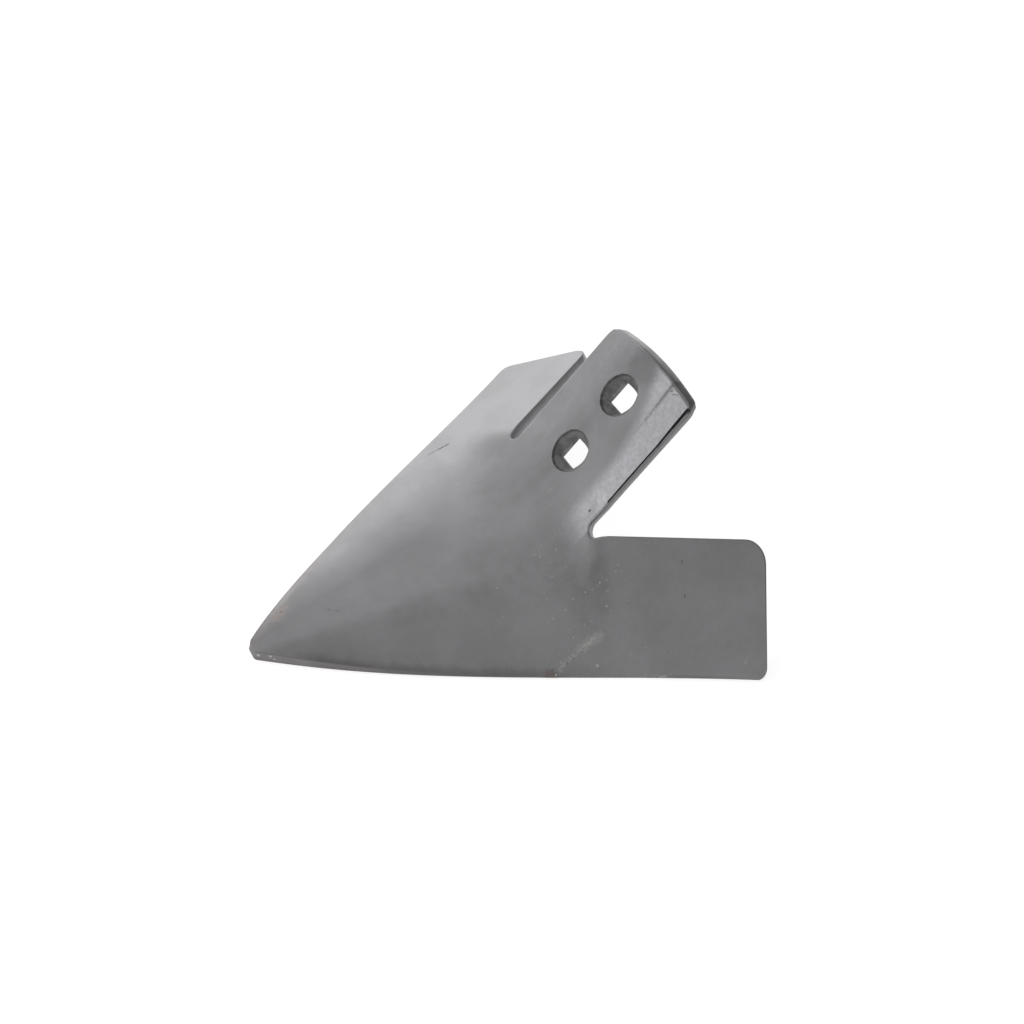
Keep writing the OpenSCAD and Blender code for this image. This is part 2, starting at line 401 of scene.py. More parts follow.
def wing_place(side, j, row):
    s, t = j / N_WING, row_part(row, ROOT_LEN)
    p = patch(s, t, wing_root, wing_tip, wing_lead, wing_rear)
    z_edge = 1 - ease((s - WING_S) / (1 - WING_S)) if row == 0 else 0.0
    gap = (p - wing_lead(s)).length
    return face_and_back(False, Vector((p.x, side * p.y)), z_edge, gap, 0.0)


# rounding of the rim in millimetres, by the part of the outline
EDGE_ROUND = 0.3
REAR_ROUND = 1.0
NOTCH_ROUND = 1.2
STEM_ROUND = 1.7
# grid places to either side over which it is evened out, its largest share of the wall, and its steps
ROUND_REACH = 4
ROUND_LIMIT = 0.42
ROUND_ANGLES = (0, 30, 60, 90)


def on_crown(i, row):
    rounding = EDGE_ROUND if row == 0 else STEM_ROUND if row > N_BODY + N_NOTCH else NOTCH_ROUND
    return crown_place(i, row), rounding


def on_wing(side, j, row):
    return wing_place(side, j, row), EDGE_ROUND + (REAR_ROUND - EDGE_ROUND) * row / N_BODY


def outline():
    """The rim as one loop of grid places, each with its rounding."""
    loop = [on_wing(-1, j, 0) for j in range(N_WING, 0, -1)]
    loop += [on_crown(i, 0) for i in range(N_ACROSS + 1)]
    loop += [on_wing(1, j, 0) for j in range(1, N_WING)]
    loop += [on_wing(1, N_WING, row) for row in range(N_BODY)]
    loop += [on_wing(1, j, N_BODY) for j in range(N_WING, 0, -1)]
    loop += [on_crown(N_ACROSS, row) for row in range(N_BODY, N_ROWS)]
    loop += [on_crown(i, N_ROWS) for i in range(N_ACROSS, 0, -1)]
    loop += [on_crown(0, row) for row in range(N_ROWS, N_BODY - 1, -1)]
    loop += [on_wing(-1, j, N_BODY) for j in range(1, N_WING)]
    loop += [on_wing(-1, N_WING, row) for row in range(N_BODY, 0, -1)]
    return loop


def rim_profiles():
    """Face and back points of the rim, and the points of its rounded section between them."""
    loop = outline()
    ends = [place for place, _ in loop]
    count = len(loop)
    sections = []
    for k in range(count):
        front, rear = ends[k]
        wall = rear - front
        down = wall.normalized()
        ahead, behind = ends[(k + 1) % count], ends[k - 1]
        out_front = (ahead[0] - behind[0]).cross(down).normalized()
        out_rear = (ahead[1] - behind[1]).cross(down).normalized()
        radii = [loop[(k + d) % count][1] for d in range(-ROUND_REACH, ROUND_REACH + 1)]
        r = min(sum(radii) / len(radii) * MM, ROUND_LIMIT * wall.length)
        bends = [math.radians(angle) for angle in ROUND_ANGLES]
        steps = [(r * (math.sin(a) - 1), r * (1 - math.cos(a))) for a in bends]
        points = [front + slip * out_front + sink * down for slip, sink in steps]
        points += [rear + slip * out_rear - sink * down for slip, sink in reversed(steps)]
        sections.append(points)
    return [e[0] for e in ends], [e[1] for e in ends], sections


# modelling: gap that is sewn up in millimetres, and the angle up to which the surface is smooth
SEAM_GAP = 0.01
SMOOTH_ANGLE = 38


def deselect_all():
    bpy.ops.object.select_all(action="DESELECT")


def make_active(obj):
    deselect_all()
    obj.select_set(True)
    bpy.context.view_layer.objects.active = obj


def add_sheet(name, across, rows, place, side):
    """A flat grid whose points are laid on the face (side 0) or the back (side 1)."""
    deselect_all()
    bpy.ops.mesh.primitive_grid_add(x_subdivisions=across, y_subdivisions=rows, size=2)
    sheet = bpy.context.object
    sheet.name = name
    for point in sheet.data.vertices:
        i = round((point.co.x + 1) / 2 * across)
        row = round((point.co.y + 1) / 2 * rows)
        point.co = place(i, row)[side]
    return sheet


def join_sheets(sheets):
    deselect_all()
    for sheet in sheets:
        sheet.select_set(True)
    bpy.context.view_layer.objects.active = sheets[0]
    bpy.ops.object.join()
    bpy.ops.object.mode_set(mode="EDIT")
    bpy.ops.mesh.select_all(action="SELECT")
    bpy.ops.mesh.remove_doubles(threshold=SEAM_GAP * MM)
    bpy.ops.object.mode_set(mode="OBJECT")
    return sheets[0]


def plate_side(name, side):
    """Crown with stem and both wings, sewn into one sheet."""
    return join_sheets([
        add_sheet(name, N_ACROSS, N_ROWS, crown_place, side),
        add_sheet("near_wing", N_WING, N_BODY, lambda j, row: wing_place(-1, j, row), side),
        add_sheet("far_wing", N_WING, N_BODY, lambda j, row: wing_place(1, j, row), side),
    ])


def move_rim(sheet, places, targets, new_ring):
    """Moves the open rim from places to targets, either as it is or drawn out into a new ring."""
    tree = KDTree(len(places))
    for k, place in enumerate(places):
        tree.insert(place, k)
    tree.balance()
    make_active(sheet)
    bpy.ops.object.mode_set(mode="EDIT")
    bpy.ops.mesh.select_mode(type="EDGE")
    bpy.ops.mesh.select_all(action="DESELECT")
    bpy.ops.mesh.select_non_manifold(
        extend=False, use_wire=False, use_boundary=True, use_multi_face=False,
        use_non_contiguous=False, use_verts=False)
    if new_ring:
        bpy.ops.mesh.extrude_edges_move()
    work = bmesh.from_edit_mesh(sheet.data)
    for point in work.verts:
        if point.select:
            point.co = targets[tree.find(point.co)[1]]
    bmesh.update_edit_mesh(sheet.data)
    bpy.ops.mesh.select_mode(type="VERT")
    bpy.ops.object.mode_set(mode="OBJECT")


def face_outwards(piece):
    make_active(piece)
    bpy.ops.object.mode_set(mode="EDIT")
    bpy.ops.mesh.select_all(action="SELECT")
    bpy.ops.mesh.normals_make_consistent(inside=False)
    if bmesh.from_edit_mesh(piece.data).calc_volume(signed=True) < 0:
        bpy.ops.mesh.flip_normals()
    bpy.ops.object.mode_set(mode="OBJECT")


def form_plate():
    """Face and back sheets joined by a rim that is drawn out ring by ring to its rounded section."""
    face = plate_side("sweep_plate", 0)
    back = plate_side("back", 1)
    fronts, rears, sections = rim_profiles()
    rings = list(zip(*sections))
    move_rim(face, fronts, rings[0], False)
    move_rim(back, rears, rings[-1], False)
    for inner, outer in zip(rings, rings[1:]):
        move_rim(face, inner, outer, True)
    plate = join_sheets([face, back])
    face_outwards(plate)
    return plate


# the two bolt holes and the groove
STEM_TURN = Matrix.Rotation(-math.radians(STEM_ANGLE), 4, "Y")


def hole_place(k):
    along = k * HOLE_PITCH
    centre = Vector((HOLE_X - MID_X + along * STEM_COS, 0, HOLE_Z + along * STEM_SIN)) * MM
    return Matrix.Translation(centre) @ STEM_TURN


def cut(plate, cutter):
    make_active(plate)
    hole = plate.modifiers.new("hole", "BOOLEAN")
    hole.operation = "DIFFERENCE"
    hole.solver = "MANIFOLD"
    hole.object = cutter
    bpy.ops.object.modifier_apply(modifier=hole.name)
    bpy.data.objects.remove(cutter)


def draw_out(sections):
    """A body drawn from its first cross-section through to its last one."""
    deselect_all()
    bpy.ops.mesh.primitive_circle_add(vertices=len(sections[0]), radius=1, fill_type="NGON")
    body = bpy.context.object
    here = [point.co.copy() for point in body.data.vertices]
    bpy.ops.object.mode_set(mode="EDIT")
    for k, section in enumerate(sections):
        if k:
            bpy.ops.mesh.extrude_region()
        work = bmesh.from_edit_mesh(body.data)
        for point in work.verts:
            if point.select:
                nearest = min(range(len(here)), key=lambda i: (point.co - here[i]).length_squared)
                point.co = section[nearest] * MM
        here = [place * MM for place in section]
        bmesh.update_edit_mesh(body.data)
    bpy.ops.mesh.select_all(action="SELECT")
    bpy.ops.mesh.quads_convert_to_tris()
    bpy.ops.object.mode_set(mode="OBJECT")
    face_outwards(body)
    return body


# seat: points of its ring, height of its cutter over the stem face, and radius and height of its
# wall from the lip down
SEAT_POINTS = 96
SEAT_RISE = 6.0
SEAT_STEPS = (
    (SEAT_D / 2 + 0.9, 0.5),
    (SEAT_D / 2 + 0.4, 0.0),
    (SEAT_D / 2 + 0.14, -0.2),
    (SEAT_D / 2, -0.55),
)


def seat_ring(radius, height, follow):
    """Ring of the seat, which follows the arch of the stem face or lies flat."""
    ring = []
    for k in range(SEAT_POINTS):
        across = turn(360 * k / SEAT_POINTS) * radius
        drop = STEM_ARCH * arch_part(across.y) if follow else 0.0
        ring.append(Vector((across.x, across.y, height - drop)))
    return ring


def seat_cutter(k):
    """Round seat: lip, straight wall and cone."""
    rings = [seat_ring(SEAT_STEPS[0][0], SEAT_RISE, False)]
    rings += [seat_ring(radius, height, True) for radius, height in SEAT_STEPS]
    rings.append(seat_ring(SEAT_D / 2, -SEAT_H, False))
    rings.append(seat_ring(SEAT_D / 2 - SEAT_TAPER, -SEAT_H - SEAT_TAPER, False))
    seat = draw_out(rings)
    seat.data.transform(hole_place(k))
    return seat


# groove beside the near edge of the stem: height of its cutter over the face, then way along the stem
# from the lower hole, place across, half width and depth under the face
GROOVE_RISE = 3.0
GROOVE_STEPS = (
    (68.5, -41.05, 0.5, 1.0),
    (67.0, -41.35, 1.0, 2.2),
    (54.0, -41.75, 0.9, 2.1),
    (40.0, -42.35, 0.5, 1.4),
    (-4.0, -42.8, 0.4, 0.9),
)


def groove_place(along, across, height):
    """Point beside the near edge, at a height over the stem face, in millimetres."""
    return Vector((along, across, height - STEM_ARCH * arch_part(across)))


def groove_cutter():
    """Wedge that is blunt at the stem's corner and runs out to a thin line."""
    sections = []
    for along, across, half, depth in GROOVE_STEPS:
        corners = ((half, GROOVE_RISE), (-half, GROOVE_RISE), (-half, -depth), (half, -depth))
        middle = groove_place(along, across, 0.0)
        sections.append([middle + Vector((0, side, height)) for side, height in corners])
    groove = draw_out(sections)
    groove.data.transform(hole_place(0))
    return groove


# square hole: length of its cutter and steps of its rounded corners
NECK_LEN = 3 * PLATE_T
NECK_SEGMENTS = 6


def neck_cutter(k):
    """Square neck hole with rounded corners."""
    deselect_all()
    bpy.ops.mesh.primitive_cube_add(size=1)
    neck = bpy.context.object
    bpy.ops.object.mode_set(mode="EDIT")
    bpy.ops.transform.resize(value=(SQUARE_W * MM, SQUARE_W * MM, NECK_LEN * MM))
    work = bmesh.from_edit_mesh(neck.data)
    for edge in work.edges:
        a, b = edge.verts
        edge.select_set(abs(a.co.z - b.co.z) > PLATE_T * MM)
    work.select_flush(False)
    bmesh.update_edit_mesh(neck.data)
    bpy.ops.mesh.bevel(offset=SQUARE_R * MM, segments=NECK_SEGMENTS, affect="EDGES")
    bpy.ops.object.mode_set(mode="OBJECT")
    face_outwards(neck)
    neck.data.transform(hole_place(k) @ Matrix.Translation((0, 0, -NECK_LEN / 2 * MM)))
    return neck


# places on each half of the cutting edge from which distance is measured
EDGE_POINTS = 500


def note_edge_gap(piece):
    """Stores each point's distance in plan from the cutting edge, for the finish."""
    places = [lead(k / EDGE_POINTS) for k in range(EDGE_POINTS + 1)]
    places += [crown_lead(i) for i in range(N_ARC)]
    tree = KDTree(2 * len(places))
    for k, place in enumerate(places):
        for side in (0, 1):
            tree.insert((place.x - MID_X, place.y if side else -place.y, 0), 2 * k + side)
    tree.balance()
    gaps = piece.data.attributes.new("edge_gap", "FLOAT", "POINT")
    for point in piece.data.vertices:
        gaps.data[point.index].value = tree.find((point.co.x / MM, point.co.y / MM, 0))[2]


def make_sweep():
    plate = form_plate()
    for k in (0, 1):
        cut(plate, seat_cutter(k))
        cut(plate, neck_cutter(k))
    cut(plate, groove_cutter())
    note_edge_gap(plate)
    make_active(plate)
    bpy.ops.object.shade_smooth_by_angle(angle=math.radians(SMOOTH_ANGLE))
    return plate


# shader building
def set_socket(tree, socket, value):
    if isinstance(value, bpy.types.NodeSocket):
        tree.links.new(value, socket)
    else:
        socket.default_value = value


def add_node(tree, kind, settings=None, **inputs):
    """New shader node, with its own settings and its inputs as values or as other nodes' outputs."""
    node = tree.nodes.new("ShaderNode" + kind)
    for name, value in (settings or {}).items():
        setattr(node, name, value)
    for name, value in inputs.items():
        set_socket(tree, node.inputs[name.replace("_", " ")], value)
    return node


def number(tree, operation, *terms):
    node = add_node(tree, "Math", {"operation": operation})
    for socket, term in zip(node.inputs, terms):
        set_socket(tree, socket, term)
    return node.outputs[0]


def vector(tree, operation, *terms):
    node = add_node(tree, "VectorMath", {"operation": operation})
    for socket, term in zip(node.inputs, terms):
        set_socket(tree, socket, term)
    return node.outputs["Value"] if operation in ("LENGTH", "DOT_PRODUCT") else node.outputs["Vector"]


def fade(tree, value, start, end, low=0.0, high=1.0):
    """Smooth step from low at start to high at end."""
    smooth = {"interpolation_type": "SMOOTHSTEP"}
    ramp = add_node(tree, "MapRange", smooth, Value=value, To_Min=low, To_Max=high)
    set_socket(tree, ramp.inputs["From Min"], start)
    set_socket(tree, ramp.inputs["From Max"], end)
    return ramp.outputs["Result"]


def scaled(tree, given, share):
    """Vector or colour times a number."""
    node = add_node(tree, "VectorMath", {"operation": "SCALE"}, Vector=given, Scale=share)
    return node.outputs["Vector"]


# places of the Mix node's colour sockets
MIX_UNDER = 6
MIX_OVER = 7
MIX_RESULT = 2


def lay_over(tree, under, over, share):
    """Colour over another one, where share says."""
    mix = tree.nodes.new("ShaderNodeMix")
    mix.data_type = "RGBA"
    set_socket(tree, mix.inputs["Factor"], share)
    set_socket(tree, mix.inputs[MIX_UNDER], under)
    set_socket(tree, mix.inputs[MIX_OVER], over)
    return mix.outputs[MIX_RESULT]


def new_group(name, inputs, output):
    """Empty shader group, with an input for each name and start value, and one number as output."""
    group = bpy.data.node_groups.new(name, "ShaderNodeTree")
    for label, value in inputs.items():
        kind = "NodeSocketVector" if isinstance(value, tuple) else "NodeSocketFloat"
        socket = group.interface.new_socket(label, in_out="INPUT", socket_type=kind)
        socket.default_value = value
    group.interface.new_socket(output, in_out="OUTPUT", socket_type="NodeSocketFloat")
    given = group.nodes.new("NodeGroupInput").outputs
    return group, given, group.nodes.new("NodeGroupOutput").inputs[output]


def use_group(tree, group, place, **inputs):
    node = add_node(tree, "Group", {"node_tree": group}, Place=place, **inputs)
    return node.outputs[0]


# effects of the finish, on places in millimetres
ORIGIN = (0.0, 0.0, 0.0)
# noise levels between which clouds fade in, part of its reach at which each mark is full, least size
# of a fleck against the largest, and noise levels over which a stroke breaks off
CLOUD_FADE = (0.28, 0.72)
FLECK_FULL = 0.45
STROKE_FULL = 0.4
SPOT_FULL = 0.55
FLECK_LEAST = 0.35
GAP_FADE = 0.08


def clouds_group():
    """Soft uneven patches of about the given size, from 0 to 1."""
    group, given, result = new_group("clouds", {"Place": ORIGIN, "Size": 10.0}, "Value")
    scale = number(group, "DIVIDE", 1.0, given["Size"])
    noise = add_node(group, "TexNoise", Vector=given["Place"], Scale=scale, Detail=3.0, Roughness=0.55)
    group.links.new(fade(group, noise.outputs["Fac"], *CLOUD_FADE), result)
    return group


def flecks_group():
    """Small specks of mixed size, by their spacing, largest radius and the share of places with one."""
    group, given, result = new_group(
        "flecks", {"Place": ORIGIN, "Spacing": 5.0, "Radius": 0.6, "Share": 0.3}, "Mask")
    bent = add_node(group, "TexNoise", Vector=given["Place"], Scale=0.9, Detail=1.0)
    place = vector(group, "ADD", given["Place"], bent.outputs["Color"])
    scale = number(group, "DIVIDE", 1.0, given["Spacing"])
    cells = add_node(group, "TexVoronoi", Vector=place, Scale=scale)
    lot = add_node(group, "SeparateColor", Color=cells.outputs["Color"])
    part = fade(group, lot.outputs["Green"], 0.0, 1.0, FLECK_LEAST, 1.0)
    reach = number(group, "MULTIPLY", given["Radius"], part)
    away = number(group, "MULTIPLY", cells.outputs["Distance"], given["Spacing"])
    spot = fade(group, number(group, "DIVIDE", away, reach), 1.0, FLECK_FULL)
    chosen = number(group, "LESS_THAN", lot.outputs["Red"], given["Share"])
    group.links.new(number(group, "MULTIPLY", spot, chosen), result)
    return group


def stroke_group():
    """Mark drawn from one place to another, with a half width, a wobble and gaps."""
    group, given, result = new_group("stroke", {
        "Place": ORIGIN, "From": ORIGIN, "To": (10.0, 0.0, 0.0),
        "Width": 0.6, "Wobble": 0.5, "Gaps": 0.3, "Strength": 1.0,
    }, "Mask")
    noise = add_node(group, "TexNoise", Vector=given["Place"], Scale=0.45, Detail=2.0)
    centred = vector(group, "SUBTRACT", noise.outputs["Color"], (0.5, 0.5, 0.5))
    place = vector(group, "ADD", given["Place"], scaled(group, centred, given["Wobble"]))
    run = vector(group, "SUBTRACT", given["To"], given["From"])
    reach = vector(group, "SUBTRACT", place, given["From"])
    run_squared = vector(group, "DOT_PRODUCT", run, run)
    part = number(group, "DIVIDE", vector(group, "DOT_PRODUCT", reach, run), run_squared)
    part = number(group, "MINIMUM", number(group, "MAXIMUM", part, 0.0), 1.0)
    away = vector(group, "LENGTH", vector(group, "SUBTRACT", reach, scaled(group, run, part)))
    line = fade(group, number(group, "DIVIDE", away, given["Width"]), 1.0, STROKE_FULL)
    breaks = add_node(group, "TexNoise", Vector=given["Place"], Scale=0.8, Detail=2.0)
    bare = number(group, "SUBTRACT", given["Gaps"], GAP_FADE)
    whole = fade(group, breaks.outputs["Fac"], bare, given["Gaps"])
    drawn = number(group, "MULTIPLY", line, whole)
    group.links.new(number(group, "MULTIPLY", drawn, given["Strength"]), result)
    return group


def spot_group():
    """Ragged round patch about a centre."""
    group, given, result = new_group(
        "spot", {"Place": ORIGIN, "Centre": ORIGIN, "Radius": 4.0, "Ragged": 2.0}, "Mask")
    noise = add_node(group, "TexNoise", Vector=given["Place"], Scale=0.5, Detail=3.0)
    away = vector(group, "LENGTH", vector(group, "SUBTRACT", given["Place"], given["Centre"]))
    uneven = number(group, "SUBTRACT", noise.outputs["Fac"], 0.5)
    bent = number(group, "MULTIPLY_ADD", uneven, given["Ragged"], away)
    group.links.new(fade(group, number(group, "DIVIDE", bent, given["Radius"]), 1.0, SPOT_FULL), result)
    return group


# colours of the finish
PAINT_GREY = (0.45, 0.447, 0.46, 1)
# pale grey of the painted highlight on the near flank of the stem
FLANK_HIGHLIGHT_GREY = (0.84, 0.835, 0.875, 1)
SEAT_GREY = (0.46, 0.45, 0.46, 1)
# dark grey of the painted shade on the stem's end and side walls
WALL_SHADE_GREY = (0.225, 0.224, 0.228, 1)
SHADOW_GREY = (0.05, 0.05, 0.052, 1)
SCRAPE_GREY = (0.74, 0.73, 0.7, 1)
BAND_GREY = (0.36, 0.34, 0.345, 1)
EDGE_PINK = (0.43, 0.405, 0.405, 1)
PATCH_PINK = (0.62, 0.565, 0.555, 1)
RUST = (0.3, 0.215, 0.175, 1)

# dark marks seen on the face and painted shade along the crease, in millimetres: from, to, half width,
# wobble, gaps, strength
DARK_STROKES_AND_CREASE_SHADE = (
    ((20, 97, 8.5), (27, 95.5, 11.2), 0.7, 1.8, 0.3, 0.6),
    ((27.5, 95.6, 11.3), (34, 94, 14), 1.15, 1.8, 0.2, 0.8),
    ((-94, 1, 12), (-91, 0.2, 12.2), 0.6, 4.0, 0.4, 0.3),
    ((-90, -2.2, 12.5), (-87, -4, 12.9), 0.7, 4.0, 0.4, 0.3),
    ((62, -38, 55), (62.6, -38, 55.6), 0.9, 0.3, 0.0, 0.7),
    # the next two rows are painted shade along the crease on the near flank
    ((124, -23.8, 117), (108, -25.8, 102), 0.9, 1.4, 0.3, 0.35),
    ((108, -25.8, 102), (95, -26.5, 90), 0.7, 1.4, 0.36, 0.2),
    ((121.9, -25.6, 114), (122.8, -26.7, 114.3), 0.55, 1.6, 0.2, 0.7),
    ((121.3, -27.8, 113.2), (122.3, -28.3, 113.6), 0.5, 1.6, 0.2, 0.6),
    ((122.6, -29.2, 113.9), (123, -30.3, 113.9), 0.45, 1.6, 0.2, 0.6),
    ((14, -97.6, 5.6), (25, -96.6, 9.4), 0.6, 3.0, 0.5, 0.5),
    ((96, -87.8, 39.8), (96.5, -86.6, 40.6), 0.5, 0.4, 0.0, 0.5),
    ((-116.9, 15.2, 8.3), (-116.2, 15.5, 8.3), 0.7, 0.2, 0.0, 0.5),
    ((89.4, -102.8, 28.4), (89.8, -101.6, 29.4), 0.5, 0.4, 0.0, 0.5),
)
PALE_STROKES = (
    ((24, -95.4, 10.2), (37, -94.7, 15.2), 3.8, 5.0, 0.42, 0.42),
    ((26, -95, 11.2), (34, -94.2, 14.2), 1.5, 5.0, 0.46, 0.85),
    ((8, -98, 4), (22, -95.6, 9.5), 2.0, 7.0, 0.5, 0.5),
    ((36, -112, 2), (62, -131, 2), 1.3, 1.0, 0.53, 0.8),
    ((51.5, -8.5, 51.5), (54, -9.5, 54), 0.5, 0.2, 0.0, 0.5),
    ((59, 23, 56), (92, 28, 86), 0.4, 1.4, 0.5, 0.3),
    ((96, 27, 90), (119, 30, 111), 0.4, 1.4, 0.47, 0.35),
    ((64, -58.2, 45), (84, -69.8, 46.5), 0.5, 1.2, 0.52, 0.35),
    ((104, -147, 7), (109, -143, 9), 0.6, 0.5, 0.4, 0.5),
)
PINK_STROKES = (((-121.5, 12.2, 8), (-113, 17.2, 8.6), 3.8, 5.0, 0.3, 0.9),)
# patches: centre, radius, raggedness
RUST_SPOTS = (((3.0, -98.8, 2.0), 5.0, 7.0),)
# painted shade patch at the top middle of the stem
TOP_SHADE_SPOTS = (((121.0, -1.0, 117.0), 17.0, 10.0),)
DUST_SPOTS = (((32.0, -55.0, 28.0), 58.0, 40.0), ((52.0, -122.0, 4.0), 26.0, 14.0))
BARE_SPOTS = (
    ((-139.5, -5.5, 4.3), 1.5, 1.2),
    ((-133.8, -10.3, 5.0), 1.2, 1.0),
    ((-132.5, -12.0, 3.0), 0.8, 0.8),
    ((5.8, -99.5, 2.4), 0.9, 0.8),
    ((47.5, -84.6, 24.9), 0.85, 0.5),
    ((40.9, -71.3, 27.4), 0.8, 0.6),
    ((28.9, -107.1, 5.5), 1.2, 1.0),
    ((49.9, -72.4, 32.2), 0.7, 0.8),
    ((122.6, -26.6, 114.4), 0.8, 0.8),
)


def greatest(tree, masks):
    whole = masks[0]
    for mask in masks[1:]:
        whole = number(tree, "MAXIMUM", whole, mask)
    return whole


def marks(tree, group, place, rows, *labels):
    """All the marks of one kind as one mask."""
    return greatest(tree, [use_group(tree, group, place, **dict(zip(labels, row))) for row in rows])


# fades of a seat's colour over its wall, and of the painted shade on its lip, in millimetres
SEAT_FADE = (SEAT_D / 2 + 0.25, SEAT_D / 2 - 0.15)
LIP_FADE = (0.75, 0.3)


def seat_masks(tree, place):
    """Within the round wall of either bolt seat, and on the lip of that wall."""
    axis = Vector((-STEM_SIN, 0, STEM_COS))
    inside, lips = [], []
    for k in (0, 1):
        centre = hole_place(k).translation / MM
        reach = vector(tree, "SUBTRACT", place, tuple(centre))
        away = vector(tree, "LENGTH", vector(tree, "CROSS_PRODUCT", reach, tuple(axis)))
        inside.append(fade(tree, away, *SEAT_FADE))
        ring = number(tree, "ABSOLUTE", number(tree, "SUBTRACT", away, SEAT_D / 2))
        lips.append(fade(tree, ring, *LIP_FADE))
    return greatest(tree, inside), greatest(tree, lips)


# line that bounds the painted highlight on the near flank: where it starts along X, its length and bend,
# where it lies across at first and how far it moves, then its fades over the line, at the foot, at the end
# and at the rim
FLANK_START = 65.0
FLANK_LENGTH = 59.0
FLANK_BEND = 2.6
FLANK_LOW_Y = -27.5
FLANK_RISE = 22.0
FLANK_LINE = (3.0, -8.0)
FLANK_FOOT_X = (44.0, 66.0)
FLANK_END_X = (124.6, 123.0)
FLANK_RIM_Y = (-46.5, -45.0)


def flank_mask(tree, along, across):
    """Near flank of the stem towards the stem's end, where its grain and its painted highlight lie."""
    part = add_node(tree, "MapRange", Value=along)
    part.inputs["From Min"].default_value = FLANK_START
    part.inputs["From Max"].default_value = FLANK_START + FLANK_LENGTH
    bent = number(tree, "POWER", part.outputs["Result"], FLANK_BEND)
    line = number(tree, "MULTIPLY_ADD", bent, FLANK_RISE, FLANK_LOW_Y)
    side = fade(tree, number(tree, "SUBTRACT", across, line), *FLANK_LINE)
    stem = number(tree, "MULTIPLY", fade(tree, along, *FLANK_FOOT_X), fade(tree, along, *FLANK_END_X))
    stem = number(tree, "MULTIPLY", stem, fade(tree, across, *FLANK_RIM_Y))
    return number(tree, "MULTIPLY", side, stem)


# strokes of painted shade in the groove: height as a share of its depth, half width as a share of its own,
# wobble, gaps, and strength at no width, for each millimetre of half width and at most
GROOVE_LEVEL = -0.8
GROOVE_SPREAD = 1.8
GROOVE_WOBBLE = 0.2
GROOVE_GAPS = 0.0
GROOVE_SHADE = (0.55, 0.3, 0.95)


def groove_shade_rows():
    """Strokes of painted shade that darken the groove down to its floor."""
    rows = []
    least, rate, most = GROOVE_SHADE
    steps = GROOVE_STEPS[1:]
    for start, end in zip(steps, steps[1:]):
        ends = [
            tuple(hole_place(0) @ (groove_place(along, across, GROOVE_LEVEL * depth) * MM) / MM)
            for along, across, _, depth in (start, end)]
        half = (start[2] + end[2]) / 2
        strength = min(most, least + rate * half)
        rows.append((*ends, GROOVE_SPREAD * half, GROOVE_WOBBLE, GROOVE_GAPS, strength))
    return tuple(rows)


# tones of the paint, from the low to the high end of the slow, middle and fine clouds
TONE_SLOW = (0.95, 1.05)
TONE_MIDDLE = (-0.03, 0.03)
TONE_FINE = (-0.02, 0.02)

# where a tone or a mark fades in, from none to full: along X, across on Y, away from the cutting edge,
# and for the painted shade on the stem's walls by how squarely they face along the bolts
ROUGH_FADE = (0.35, 0.75)
WALL_FACING = (0.85, 0.45)
WALL_X = (50.0, 62.0)
WALL_Y = (30.0, 2.0)
WALL_FAR = 0.2
FRONT_X = (-60.0, -110.0)
FAR_FRONT_X = (30.0, -70.0)
FAR_FRONT_Y = (0.0, 28.0)
NEAR_Y = (3.0, -3.0)
FAR_Y = (-3.0, 3.0)
BAND_GAP = (1.6, 1.25)
BAND_X = (-20.0, -70.0)
DARK_WAVE = 1.2
DARK_GAP = (6.5, 0.8)
DARK_NOSE_X = (-126.0, -108.0)
DARK_WING_X = (40.0, -20.0)
WARM_GAP = (6.5, 4.0)
WARM_X = (10.0, -50.0)

# how much each layer covers, or how much it does at the low and high end of the clouds that break it up
# the flank's cover is that of its painted highlight, at the low and high end of the small clouds
FLANK_HIGHLIGHT_COVER = (1.0, 0.72)
PIT_COVER = 0.4
# cover of the painted shade patch at the top of the stem
TOP_SHADE_COVER = 0.2
FRONT_COVER = 0.12
WARM_COVER = 0.8
DARK_COVER = 0.32
BAND_COVER = (1.0, 0.75)
DUST_COVER = 0.5
# painted shade inside the seats and on their lips
SEAT_FROM = (0.2, 0.8)
SEAT_SHADE_COVER = (0.2, 0.5)
LIP_SHADE_COVER = (0.65, 0.3)
RUST_COVER = 0.5
BARE_COVER = 0.9

# wear of the pale scrapes, metal and roughness of whole and of worn paint, and heights of the relief
PALE_WEAR = 0.5
METAL = (0.9, 0.4)
ROUGH = (0.37, 0.43)
WORN_ROUGH = 0.25
FLANK_RELIEF = 0.5
FINE_RELIEF = 0.12
MIDDLE_RELIEF = 0.25
MARK_RELIEF = 0.6


